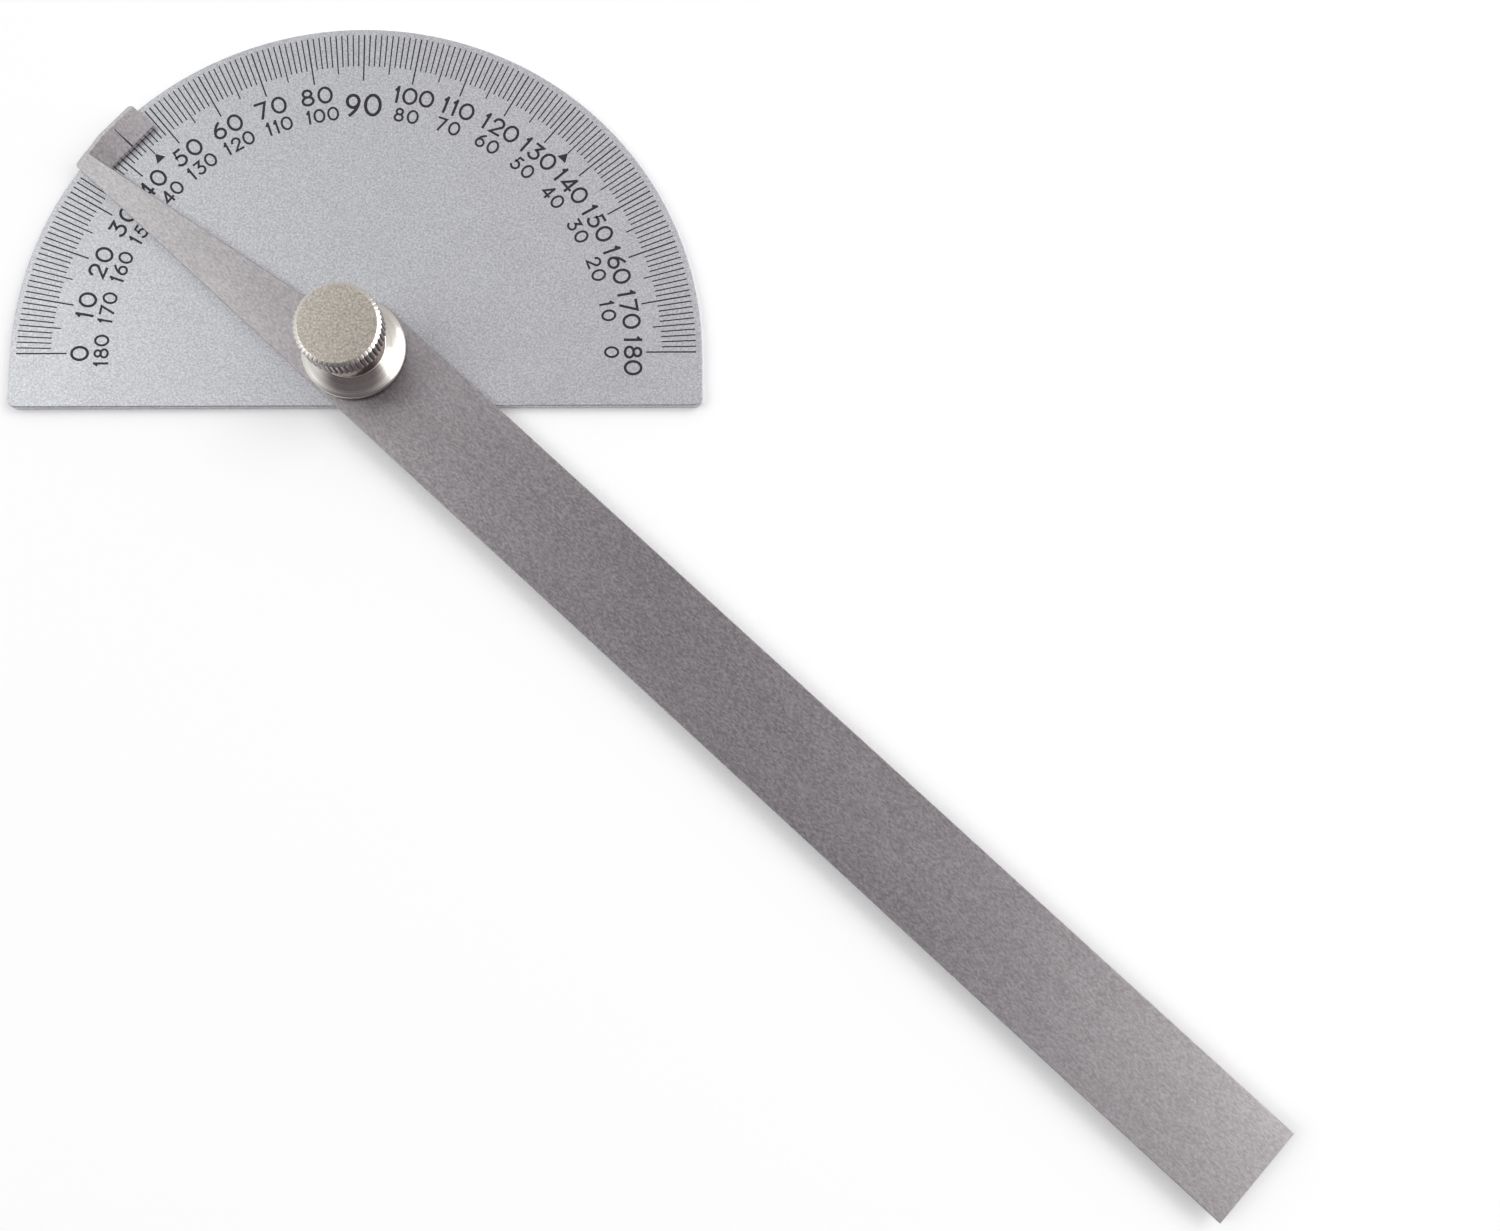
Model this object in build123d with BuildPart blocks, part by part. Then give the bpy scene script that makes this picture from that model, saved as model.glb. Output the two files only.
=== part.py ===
from build123d import *
import os
from math import cos, radians, sin

# Protractor with a swinging arm: a half-round engraved scale plate, an arm whose
# short end is stepped down to the scale as an index, and a knurled clamping nut
# on a keyed pivot stud. All sizes are in millimetres and degrees.
# The origin is on the pivot axis, in the plane of the plate's back face. +X runs
# towards the 180 mark, +Y towards the 90 mark and +Z out of the engraved face.

# Fits between the pieces
running_clearance = 0.05     # radial, where one piece turns on another
key_clearance = 0.05         # each side, where the stud is keyed into the plate
axial_clearance = 0.05       # along the pivot, where two pieces must not bind

# Scale plate: a half disc with straight sides below the 0 to 180 line
plate_radius = 45.0
plate_thickness = 1.2
base_edge_drop = 7.15        # from the pivot down to the straight base edge
plate_corner_radius = 1.0
plate_edge_break = 0.12

# Engraved graduations, one radial line at every degree
scale_degrees = 180
main_step = 10               # degrees between the longest lines
half_step = 5                # degrees between the longer lines
scale_margin = 0.8           # from the plate's rim to the lines' outer ends
unit_line_length = 4.5
half_line_length = 5.5
main_line_length = 6.55
line_width = 0.17
main_line_width = 0.2
line_depth = 0.08

# Arm: a flat strip, blade on one side of the pivot and index finger on the other
arm_width = 14.0
arm_thickness = 1.0
blade_length = 151.2         # from the pivot to the square end
arm_edge_break = 0.1
finger_root_width = 9.27     # across the finger, level with the pivot
finger_tip_width = 2.27      # across the finger at its end
finger_end_fall = 0.85       # how far the slanted end lies back at the outer corner
finger_end_bend = 2.0        # from the index line across to where the slant starts
tip_corner_radius = 0.5
reading_at_rest = 43.0       # degrees, where the index line stands on the scale

# Index tab: pressed down from the finger's side to just above the scale, with a
# bevel that falls to the reading edge, more steeply beside the finger
tab_overhang = 0.3           # past the plate's rim
tab_depth = 4.1              # along the arm
tab_reach = 3.9              # from the index line to the tab's free side
tab_overlap = 0.5            # how far the tab's root runs under the finger
tab_corner_radius = 0.6
tab_clearance = 0.1          # between the tab and the plate's face
tab_land = 0.5               # flat strip along the tab's outer edge
bevel_drop_at_root = 0.56
bevel_drop_at_side = 0.32
index_line_width = 0.28
index_line_length = 3.1

# Spacer washer between the plate and the arm
spacer_diameter = 11.5
spacer_thickness = 0.3

# Pivot stud: flush head, square key, journal for the arm, threaded shank
journal_diameter = 6.0
key_shoulder = 0.1           # the key's flats stand this far outside the journal
stud_head_diameter = 10.5
stud_head_thickness = 0.5
thread_diameter = 5.0
stud_tip_gap = 0.8           # between the stud's tip and the closed nut
stud_tip_chamfer = 0.4

# Clamp collar: a flared ring that presses on the arm
collar_rim_diameter = 13.5
collar_rim_height = 0.85
collar_edge_radius = 0.15    # round the top of the rim
collar_neck_diameter = 9.2
collar_height = 2.5
collar_cove_depth = 0.22     # how far the flare is hollowed from a straight cone

# Thumb nut: closed knurled head, waist, and a staked spigot that holds the collar
spigot_wall = 1.0
lip_width = 0.6
lip_height = 0.5
lip_clearance = 0.15
waist_diameter = 9.0
waist_height = 4.2
waist_cove_depth = 0.25
head_diameter = 10.9
head_underside_drop = 0.3    # height of the cone under the knurl
knurl_height = 2.5
knurl_count = 50
knurl_depth = 0.2
bevel_height = 0.3
crown_diameter = 9.8         # flat top inside the bevel
crown_thickness = 0.8

# Heights along the pivot axis, each from the piece below it
spacer_bottom = plate_thickness
arm_bottom = spacer_bottom + spacer_thickness
arm_top = arm_bottom + arm_thickness
tab_bottom = plate_thickness + tab_clearance
collar_top = arm_top + collar_height
knurl_bottom = collar_top + waist_height
knurl_top = knurl_bottom + knurl_height
nut_top = knurl_top + bevel_height
nut_bottom = arm_top + axial_clearance
bore_top = nut_top - crown_thickness
stud_top = bore_top - stud_tip_gap

# Radii that mate, each from the piece inside it
journal_radius = journal_diameter / 2
journal_bore_radius = journal_radius + running_clearance
key_across_flats = journal_diameter + 2 * key_shoulder
nut_bore_radius = thread_diameter / 2 + running_clearance
spigot_radius = nut_bore_radius + spigot_wall
collar_bore_radius = spigot_radius + running_clearance
lip_radius = spigot_radius + lip_width
recess_radius = lip_radius + lip_clearance
recess_top = nut_bottom + lip_height + axial_clearance

# The arm's own plane: local x towards the index tip, local y across the arm
arm_angle = scale_degrees - reading_at_rest
along_arm = Vector(cos(radians(arm_angle)), sin(radians(arm_angle)), 0)
across_arm = Vector(-along_arm.Y, along_arm.X, 0)
arm_plane = Plane(origin=(0, 0, arm_bottom), x_dir=along_arm, z_dir=(0, 0, 1))
tip_reach = plate_radius + tab_overhang
half_arm = arm_width / 2
tab_start = tip_reach - tab_depth
tab_top = tab_bottom + arm_thickness
tab_root = half_arm - finger_tip_width + tab_overlap
bevel_start = tip_reach - tab_land

# How the bevel's fall grows across the arm, and its fall at the index line
bevel_twist = (bevel_drop_at_root - bevel_drop_at_side) / (tab_root + tab_reach)
bevel_drop_at_line = bevel_drop_at_side + bevel_twist * tab_reach

# The slanted end of the finger: how far it lies back at any place across the arm
finger_end_slant = finger_end_fall / (half_arm - finger_end_bend)


def end_reach(place_across):
    return tip_reach - finger_end_slant * max(place_across - finger_end_bend, 0)


# Half-round plate, engraved on its face and recessed behind for the stud
with BuildPart() as scale_plate:
    with BuildSketch() as plate_outline:
        with BuildLine():
            rim = CenterArc((0, 0), plate_radius, 0, scale_degrees)
            Polyline(rim @ 1, (-plate_radius, -base_edge_drop), (plate_radius, -base_edge_drop), rim @ 0)
        make_face()
        fillet(plate_outline.vertices().group_by(Axis.Y)[0], radius=plate_corner_radius)
    extrude(amount=plate_thickness)
    face_edges = scale_plate.faces().sort_by(Axis.Z)[-1].edges()
    chamfer(face_edges, length=plate_edge_break)

    # Square keyway through the plate, and the recess for the stud's flush head
    with BuildSketch():
        Rectangle(key_across_flats + 2 * key_clearance, key_across_flats + 2 * key_clearance)
    extrude(amount=plate_thickness, mode=Mode.SUBTRACT)
    with BuildSketch():
        Circle(stud_head_diameter / 2 + key_clearance)
    extrude(amount=stud_head_thickness, mode=Mode.SUBTRACT)

    # Graduations in families: each has its first mark, step, line length and width
    families = [
        (0, main_step, main_line_length, main_line_width),
        (half_step, main_step, half_line_length, line_width),
    ]
    families += [(first, half_step, unit_line_length, line_width) for first in range(1, half_step)]
    with BuildSketch(Plane.XY.offset(plate_thickness)):
        for first, step, length, width in families:
            count = (scale_degrees - first) // step + 1
            middle_radius = plate_radius - scale_margin - length / 2
            with PolarLocations(middle_radius, count, first, (count - 1) * step, endpoint=True):
                Rectangle(length, width)
    extrude(amount=-line_depth, mode=Mode.SUBTRACT)
scale_plate.part.label = "scale_plate"


# Thin ring that lifts the arm clear of the engraved face
with BuildPart() as spacer_washer:
    with BuildSketch(Plane.XY.offset(spacer_bottom)):
        Circle(spacer_diameter / 2)
        Circle(journal_bore_radius, mode=Mode.SUBTRACT)
    extrude(amount=spacer_thickness)
spacer_washer.part.label = "spacer_washer"


# Stud, from the flush head up: head, square key, journal, shank with thread
with BuildPart() as pivot_stud:
    with BuildSketch():
        Circle(stud_head_diameter / 2)
    extrude(amount=stud_head_thickness)
    with BuildSketch(Plane.XY.offset(stud_head_thickness)):
        Rectangle(key_across_flats, key_across_flats)
    extrude(amount=plate_thickness - stud_head_thickness)
    with BuildSketch(Plane.XY.offset(plate_thickness)):
        Circle(journal_radius)
    extrude(amount=arm_top - axial_clearance - plate_thickness)
    with BuildSketch(Plane.XY.offset(arm_top - axial_clearance)):
        Circle(thread_diameter / 2)
    extrude(amount=stud_top - arm_top + axial_clearance)
    tip_edge = pivot_stud.faces().sort_by(Axis.Z)[-1].edges()
    chamfer(tip_edge, length=stud_tip_chamfer)
pivot_stud.part.label = "pivot_stud"


# Arm: blade, round boss and tapering finger in one flat strip, then the index tab
with BuildPart() as index_arm:
    with BuildSketch(arm_plane):
        Rectangle(blade_length, arm_width, align=(Align.MAX, Align.CENTER))
        Circle(half_arm)
        with BuildLine():
            Polyline(
                (0, half_arm),
                (end_reach(half_arm), half_arm),
                (end_reach(half_arm - finger_tip_width), half_arm - finger_tip_width),
                (0, half_arm - finger_root_width),
                close=True,
            )
        make_face()
        Circle(journal_bore_radius, mode=Mode.SUBTRACT)
    extrude(amount=arm_thickness)

    # Rounded outer corner and broken edges of the strip, before the tab joins it
    along = Axis((0, 0, 0), along_arm)
    across = Axis((0, 0, 0), across_arm)
    finger_corners = index_arm.edges().filter_by(Axis.Z).sort_by(along)[-2:]
    fillet(finger_corners.sort_by(across)[-1], radius=tip_corner_radius)
    arm_face = index_arm.faces().filter_by(Axis.Z).sort_by(Axis.Z)[-1]
    chamfer(arm_face.outer_wire().edges(), length=arm_edge_break)

    # The tab, lofted across the arm through its sections in the finger, at the bend
    # of the end and at its free side
    for place_across in (tab_root, finger_end_bend, -tab_reach):
        reach = end_reach(place_across)
        section_origin = across_arm * place_across
        with BuildSketch(Plane(origin=section_origin, x_dir=along_arm, z_dir=-across_arm)):
            with BuildLine():
                Polyline(
                    (tab_start, tab_bottom),
                    (tab_start, tab_top - bevel_drop_at_line - bevel_twist * place_across),
                    (reach - tab_land, tab_top),
                    (reach, tab_top),
                    (reach, tab_bottom),
                    close=True,
                )
            make_face()
    loft(ruled=True)
    tip_corners = index_arm.edges().filter_by(Axis.Z).group_by(along)[-1]
    fillet(tip_corners.sort_by(across)[0], radius=tab_corner_radius)

    # Index line engraved down the bevel, from where the bevel starts
    bevel_top = along_arm * bevel_start + Vector(0, 0, tab_top)
    bevel_foot = along_arm * tab_start + Vector(0, 0, tab_top - bevel_drop_at_line)
    down_bevel = (bevel_foot - bevel_top).normalized()
    with BuildSketch(Plane(origin=bevel_foot, x_dir=-down_bevel, z_dir=across_arm.cross(down_bevel))):
        Rectangle(2 * index_line_length, index_line_width)
    extrude(amount=line_depth, both=True, mode=Mode.SUBTRACT)
index_arm.part.label = "index_arm"


# Collar: a hollow-flanked flare on a thin rim, recessed below for the nut's lip
with BuildPart() as clamp_collar:
    with BuildSketch(Plane.XZ):
        with BuildLine():
            rim_corner = (collar_rim_diameter / 2, arm_top + collar_rim_height)
            neck_corner = (collar_neck_diameter / 2, collar_top)
            Polyline(
                neck_corner,
                (collar_bore_radius, collar_top),
                (collar_bore_radius, recess_top),
                (recess_radius, recess_top),
                (recess_radius, arm_top),
                (collar_rim_diameter / 2, arm_top),
                rim_corner,
            )
            SagittaArc(rim_corner, neck_corner, collar_cove_depth)
        make_face()
    revolve(axis=Axis.Z)
    rim_edges = clamp_collar.edges().filter_by(GeomType.CIRCLE).group_by(SortBy.RADIUS)[-1]
    fillet(rim_edges.sort_by(Axis.Z)[-1], radius=collar_edge_radius)
clamp_collar.part.label = "clamp_collar"


# Nut: one turned piece, knurled, closed on top, with the spigot's lip below
with BuildPart() as thumb_nut:
    with BuildSketch(Plane.XZ):
        with BuildLine():
            waist_foot = (waist_diameter / 2, collar_top)
            waist_head = (waist_diameter / 2, knurl_bottom - head_underside_drop)
            Polyline(
                waist_head,
                (head_diameter / 2, knurl_bottom),
                (head_diameter / 2, knurl_top),
                (crown_diameter / 2, nut_top),
                (0, nut_top),
                (0, bore_top),
                (nut_bore_radius, bore_top),
                (nut_bore_radius, nut_bottom),
                (lip_radius, nut_bottom),
                (lip_radius, nut_bottom + lip_height),
                (spigot_radius, nut_bottom + lip_height),
                (spigot_radius, collar_top),
                waist_foot,
            )
            SagittaArc(waist_foot, waist_head, waist_cove_depth)
        make_face()
    revolve(axis=Axis.Z)

    # Straight knurl: square-cornered grooves, each a square cutter turned on edge
    with BuildSketch(Plane.XY.offset(knurl_bottom - head_underside_drop)):
        with PolarLocations(head_diameter / 2, knurl_count):
            Rectangle(knurl_depth * 2**0.5, knurl_depth * 2**0.5, rotation=45)
    extrude(amount=head_underside_drop + knurl_height + bevel_height, mode=Mode.SUBTRACT)
thumb_nut.part.label = "thumb_nut"


os.makedirs("parts", exist_ok=True)
for piece in (scale_plate, spacer_washer, pivot_stud, index_arm, clamp_collar, thumb_nut):
    export_step(piece.part, f"parts/{piece.part.label}.step")
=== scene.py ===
import logging
import math
from dataclasses import dataclass, field
from enum import Enum

import bpy
import numpy as np
from mathutils import Matrix, Vector


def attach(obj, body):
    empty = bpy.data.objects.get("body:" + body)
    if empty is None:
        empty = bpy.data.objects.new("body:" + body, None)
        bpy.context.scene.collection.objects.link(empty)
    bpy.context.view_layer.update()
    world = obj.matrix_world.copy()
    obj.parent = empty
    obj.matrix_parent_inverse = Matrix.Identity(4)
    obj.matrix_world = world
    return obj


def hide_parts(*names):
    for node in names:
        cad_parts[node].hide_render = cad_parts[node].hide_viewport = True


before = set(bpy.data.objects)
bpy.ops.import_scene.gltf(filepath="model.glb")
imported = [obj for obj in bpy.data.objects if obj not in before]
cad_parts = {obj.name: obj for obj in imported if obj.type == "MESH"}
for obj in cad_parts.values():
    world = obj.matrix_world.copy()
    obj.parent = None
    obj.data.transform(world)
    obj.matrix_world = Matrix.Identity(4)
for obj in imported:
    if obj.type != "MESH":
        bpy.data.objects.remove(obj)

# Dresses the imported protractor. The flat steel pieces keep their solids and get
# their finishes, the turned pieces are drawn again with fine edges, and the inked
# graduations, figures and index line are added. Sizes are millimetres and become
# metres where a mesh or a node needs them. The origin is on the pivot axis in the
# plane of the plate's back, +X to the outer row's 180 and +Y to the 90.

MM = 0.001
Colour = tuple[float, float, float]
Size = tuple[float, float, float]
Socket = bpy.types.NodeSocket
Feed = Socket | Colour | float
WHITE: Colour = (1.0, 1.0, 1.0)
log = logging.getLogger("protractor")


# Shader nodes

class NodeBoard:
    """The node tree of a material or a world, with short calls that add and join its nodes."""

    def __init__(self, owner: bpy.types.Material | bpy.types.World) -> None:
        """Opens an empty tree in a new material or world."""
        owner.use_nodes = True
        self.owner = owner
        self.tree = owner.node_tree
        self.tree.nodes.clear()

    def add(self, kind: str, **settings: object) -> bpy.types.Node:
        """Adds one node.

        Args:
            kind: the node's type, without the ShaderNode in front.
            settings: properties of the node, or values of its inputs by name.
                An underscore in an input's name stands for a space.

        Returns:
            The node.
        """
        node = self.tree.nodes.new("ShaderNode" + kind)
        for key, value in settings.items():
            if hasattr(node, key):
                setattr(node, key, value)
            else:
                node.inputs[key.replace("_", " ")].default_value = value
        return node

    def join(self, source: Feed, target: Socket) -> None:
        """Links an output to an input, or sets the input to a colour or a number."""
        if isinstance(source, Socket):
            self.tree.links.new(source, target)
        else:
            target.default_value = (*source, 1.0) if isinstance(source, tuple) else source

    def split(self, vector: Socket) -> tuple[Socket, Socket, Socket]:
        """The x, y and z of a vector."""
        apart = self.add("SeparateXYZ")
        self.join(vector, apart.inputs[0])
        return apart.outputs["X"], apart.outputs["Y"], apart.outputs["Z"]

    def flat(self, x: Socket, y: Socket) -> Socket:
        """The vector (x, y, 0)."""
        together = self.add("CombineXYZ")
        self.join(x, together.inputs["X"])
        self.join(y, together.inputs["Y"])
        return together.outputs[0]

    def place(self, turn: float, size: Size, where: Socket | None = None) -> Socket:
        """A place turned about the pivot axis and counted in units of a size.

        Args:
            turn: degrees from +X to the pattern's own first direction.
            size: the pattern's size along its three directions, in millimetres.
            where: the place. Without one, it is the object's own coordinates.

        Returns:
            The vector's socket.
        """
        mapping = self.add("Mapping", vector_type="TEXTURE")
        mapping.inputs["Rotation"].default_value = (0.0, 0.0, math.radians(turn))
        mapping.inputs["Scale"].default_value = tuple(s * MM for s in size)
        if where is None:
            where = self.add("TexCoord").outputs["Object"]
        self.join(where, mapping.inputs["Vector"])
        return mapping.outputs["Vector"]

    def noise(self, vector: Socket, detail: float) -> Socket:
        """Noise around 0.5, about one cycle in each unit of the vector, in so many octaves."""
        cloud = self.add("TexNoise", Scale=1.0, Detail=detail, Roughness=0.55)
        self.join(vector, cloud.inputs["Vector"])
        return cloud.outputs["Fac"]

    def combine(self, operation: str, *terms: Socket | float) -> Socket:
        """Reckons with two or three values, by one of the Math node's operations."""
        node = self.add("Math", operation=operation)
        for term, entry in zip(terms, node.inputs):
            self.join(term, entry)
        return node.outputs[0]

    def between(self, amount: Socket, low: float, high: float, start: float = 0.3,
                end: float = 0.7, shape: str = "LINEAR") -> Socket:
        """A value carried from one range to another, and held at its ends.

        Args:
            amount: the value to carry over.
            low: the result where amount is start.
            high: the result where amount is end.
            start: the amount that gives low. Noise seldom leaves 0.3 to 0.7.
            end: the amount that gives high.
            shape: LINEAR, or SMOOTHSTEP for eased ends.

        Returns:
            The result's socket.
        """
        ramp = self.add("MapRange", clamp=True, interpolation_type=shape)
        names = ("Value", "From Min", "From Max", "To Min", "To Max")
        for name, value in zip(names, (amount, start, end, low, high)):
            self.join(value, ramp.inputs[name])
        return ramp.outputs["Result"]

    def blend(self, amount: Socket, first: Feed, second: Feed,
              mode: str = "MIX", kind: str = "RGBA") -> Socket:
        """A colour or number between two, by an amount from 0 to 1.

        A Mix node's sockets share their names, so they are found by their numbers.

        Args:
            amount: the share of the second.
            first: what an amount of 0 gives.
            second: what an amount of 1 gives.
            mode: MIX, or MULTIPLY to reach the product of the two at 1.
            kind: RGBA for colours, or FLOAT for numbers.

        Returns:
            The result's socket.
        """
        at_first, at_second, result = (6, 7, 2) if kind == "RGBA" else (2, 3, 0)
        mix = self.add("Mix", data_type=kind, blend_type=mode)
        for value, entry in ((amount, 0), (first, at_first), (second, at_second)):
            self.join(value, mix.inputs[entry])
        return mix.outputs[result]

    def shade(self, colour: Socket, roughness: Socket, relief: Socket,
              depth: float, metal: bool) -> bpy.types.Material:
        """Ends the tree with one surface shader.

        Args:
            colour: the base colour.
            roughness: the roughness.
            relief: the height that the fine bump follows.
            depth: the bump's depth, in millimetres.
            metal: True for metal, and False for paint.

        Returns:
            The finished material.
        """
        surface = self.add("BsdfPrincipled", Metallic=float(metal))
        bump = self.add("Bump", Strength=1.0, Distance=depth * MM)
        output = self.add("OutputMaterial")
        self.join(relief, bump.inputs["Height"])
        self.join(colour, surface.inputs["Base Color"])
        self.join(roughness, surface.inputs["Roughness"])
        self.join(bump.outputs["Normal"], surface.inputs["Normal"])
        self.join(surface.outputs["BSDF"], output.inputs["Surface"])
        return self.owner


# Finishes

@dataclass(frozen=True)
class SatinSteel:
    """Chrome-satin steel: an even, very fine frost, a little glossier in soft patches."""

    name: str = "satin_steel"
    pale: Colour = (0.70, 0.705, 0.725)
    deep: Colour = (0.435, 0.44, 0.455)
    frost_size: float = 0.25
    patch_size: float = 7.0
    roughness: tuple[float, float] = (0.47, 0.53)
    depth: float = 0.004

    def material(self) -> bpy.types.Material:
        """The finish as a material."""
        board = NodeBoard(bpy.data.materials.new(self.name))
        frost = board.noise(board.place(0.0, (self.frost_size,) * 3), 2.0)
        patch = board.noise(board.place(0.0, (self.patch_size,) * 3), 2.0)
        return board.shade(board.blend(board.between(frost, 0.0, 1.0), self.deep, self.pale),
                           board.between(patch, *self.roughness), frost, self.depth, True)


@dataclass(frozen=True)
class BrushedStrip:
    """Cold-rolled strip: a fine grain drawn out along its length, over slow bands of tone."""

    name: str
    turn: float
    pale: Colour = (0.64, 0.615, 0.62)
    deep: Colour = (0.42, 0.40, 0.405)
    hair_size: Size = (0.42, 0.20, 0.20)
    band_size: Size = (34.0, 9.0, 9.0)
    band_reach: float = 0.07
    roughness: tuple[float, float] = (0.29, 0.35)
    depth: float = 0.0007

    def material(self) -> bpy.types.Material:
        """The finish as a material."""
        board = NodeBoard(bpy.data.materials.new(self.name))
        hair = board.noise(board.place(self.turn, self.hair_size), 3.0)
        band = board.noise(board.place(self.turn, self.band_size), 2.0)
        slow = board.between(band, -self.band_reach, self.band_reach)
        amount = board.between(board.combine("ADD", hair, slow), 0.0, 1.0)
        return board.shade(board.blend(amount, self.deep, self.pale),
                           board.between(hair, *self.roughness), hair, self.depth, True)


@dataclass(frozen=True)
class PaintedRingShade:
    """Painted shade: a darker colour in a ring between two heights, full at one radius and gone at
    the other.
    """

    full: float
    gone: float
    bottom: float
    top: float
    tone: Colour


@dataclass(frozen=True)
class TurnedMetal:
    """Turned and plated metal: bright, with fine marks round the axis, and frosted up high."""

    name: str
    pale: Colour
    deep: Colour
    mark_size: float = 0.16
    frost_size: float = 0.16
    roughness: tuple[float, float] = (0.16, 0.24)
    satin: tuple[Colour, Colour] = (WHITE, WHITE)
    satin_roughness: float = 0.42
    satin_from: float = 99.0
    satin_fade: float = 0.03
    depth: float = 0.0010
    painted_shades: tuple[PaintedRingShade, ...] = ()

    def material(self) -> bpy.types.Material:
        """The finish as a material.

        The turning marks are noise read at (distance from the axis, height), so
        they run round the axis. A step on the height chooses bright or satin.
        """
        board = NodeBoard(bpy.data.materials.new(self.name))
        x, y, height = board.split(board.add("TexCoord").outputs["Object"])
        length = board.add("VectorMath", operation="LENGTH")
        board.join(board.flat(x, y), length.inputs[0])
        reach = length.outputs["Value"]
        marks = board.place(0.0, (self.mark_size,) * 3, board.flat(reach, height))
        turning = board.noise(marks, 2.0)
        frost = board.noise(board.place(0.0, (self.frost_size,) * 3), 3.0)
        satin = board.between(height, 0.0, 1.0, (self.satin_from - self.satin_fade) * MM,
                              self.satin_from * MM)
        grain = board.blend(satin, turning, frost, kind="FLOAT")
        shine = board.blend(satin, board.between(turning, *self.roughness),
                            self.satin_roughness, kind="FLOAT")
        plating = board.blend(board.between(grain, 0.0, 1.0), self.deep, self.pale)
        frosting = board.blend(board.between(frost, 0.0, 1.0), *self.satin)
        colour = board.blend(satin, plating, frosting, "MULTIPLY")
        # Painted shade: each ring multiplies the colour by its darker tone, within its heights and
        # radii.
        for shade in self.painted_shades:
            level = board.combine("COMPARE", height, (shade.bottom + shade.top) / 2 * MM,
                                  (shade.top - shade.bottom) / 2 * MM)
            inside = board.between(reach, 1.0, 0.0, shade.full * MM, shade.gone * MM)
            share = board.combine("MULTIPLY", level, inside)
            colour = board.blend(share, colour, shade.tone, "MULTIPLY")
        return board.shade(colour, shine, grain, self.depth, True)


@dataclass(frozen=True)
class FillPaint:
    """Paint wiped into engraved lines: nearly black, uneven and slightly dull."""

    name: str
    dark: Colour
    worn: Colour
    patch_size: float = 0.5
    roughness: tuple[float, float] = (0.45, 0.7)
    depth: float = 0.003

    def material(self) -> bpy.types.Material:
        """The finish as a material."""
        board = NodeBoard(bpy.data.materials.new(self.name))
        patch = board.noise(board.place(0.0, (self.patch_size,) * 3), 4.0)
        return board.shade(board.blend(board.between(patch, 0.0, 1.0), self.dark, self.worn),
                           board.between(patch, *self.roughness), patch, self.depth, False)


# Surfaces worked out on grids

EASING_STEPS = 5
EASING_SHARE = 0.42
FLANK_STEPS = 14
SHARPEST_MITRE = 0.45
CREASE = 38.0


@dataclass
class Surface:
    """A mesh in the making: corners in millimetres and faces as rows of corner numbers."""

    points: np.ndarray
    faces: list[np.ndarray]

    @staticmethod
    def merged(parts: list["Surface"]) -> "Surface":
        """Several surfaces as one, each keeping its own corners."""
        starts = np.cumsum([0] + [len(p.points) for p in parts])
        faces = [f + start for p, start in zip(parts, starts) for f in p.faces]
        return Surface(np.vstack([p.points for p in parts]), faces)

    def volume(self) -> float:
        """The space inside, from triangles fanned out in each face. Inside out, it is negative."""
        total = 0.0
        for rows in self.faces:
            corner = self.points[rows]
            area = np.cross(corner[:, 1:-1], corner[:, 2:])
            total += float(np.einsum("ij,ikj->", corner[:, 0], area)) / 6
        return total

    def piece(self, name: str, material: bpy.types.Material, body: str,
              slot: str) -> bpy.types.Object:
        """Makes the object, its faces turned outwards, and hangs it on its body.

        It is shaded smooth, but for edges that turn by more than the crease.

        Args:
            name: the piece's name.
            material: its finish.
            body: the body that it moves with.
            slot: a material slot's name; not used.

        Returns:
            The object, at the origin.
        """
        turned_out = slice(None, None, 1 if self.volume() > 0 else -1)
        corners = np.concatenate([f[:, turned_out].ravel() for f in self.faces])
        sizes = np.concatenate([np.full(len(f), f.shape[1]) for f in self.faces])
        mesh = bpy.data.meshes.new(name)
        mesh.vertices.add(len(self.points))
        mesh.vertices.foreach_set("co", (self.points * MM).astype(np.float32).ravel())
        mesh.loops.add(len(corners))
        mesh.loops.foreach_set("vertex_index", corners.astype(np.int32))
        mesh.polygons.add(len(sizes))
        mesh.polygons.foreach_set("loop_start", (np.cumsum(sizes) - sizes).astype(np.int32))
        mesh.update(calc_edges=True)
        mesh.shade_smooth()
        mesh.set_sharp_from_angle(angle=math.radians(CREASE))
        mesh.materials.append(material)
        if mesh.validate():
            raise ValueError(f"{name} has bad faces")
        thing = bpy.data.objects.new(name, mesh)
        bpy.context.scene.collection.objects.link(thing)
        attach(thing, body)
        log.info("%s: %d corners, %d faces, on %s", name, len(self.points), len(sizes), body)
        return thing


def grid_quads(rows: int, columns: int, wrap_rows: bool, wrap_columns: bool) -> np.ndarray:
    """Quads of a grid whose corner (i, j) has the number i * columns + j.

    Args:
        rows: corners in the first direction.
        columns: corners in the second direction.
        wrap_rows: True where the last row joins the first.
        wrap_columns: True where the last column joins the first.

    Returns:
        An array of four corner numbers for each quad.
    """
    i, j = np.meshgrid(np.arange(rows if wrap_rows else rows - 1),
                       np.arange(columns if wrap_columns else columns - 1), indexing="ij")
    after_i, after_j = (i + 1) % rows, (j + 1) % columns
    near, far = i * columns, after_i * columns
    return np.stack([near + j, near + after_j, far + after_j, far + j], axis=-1).reshape(-1, 4)


def carried(points: np.ndarray, closed: bool = False) -> Surface:
    """Rings of corners carried along lines, with a ring at each of a line's stations.

    Args:
        points: the corners, as (line, station, corner of the ring, x y z).
        closed: True where a line's last ring joins its first. Otherwise the two
            end rings are filled in.

    Returns:
        The surface, its corners in the order given.
    """
    lines, stations, around, _ = points.shape
    starts = (np.arange(lines) * stations * around)[:, None, None]
    faces = [(grid_quads(stations, around, closed, True) + starts).reshape(-1, 4)]
    if not closed:
        ring = np.arange(around)
        ends = np.stack([ring[::-1], ring + (stations - 1) * around])
        faces.append((ends + starts).reshape(-1, around))
    return Surface(points.reshape(-1, 3), faces)


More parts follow.
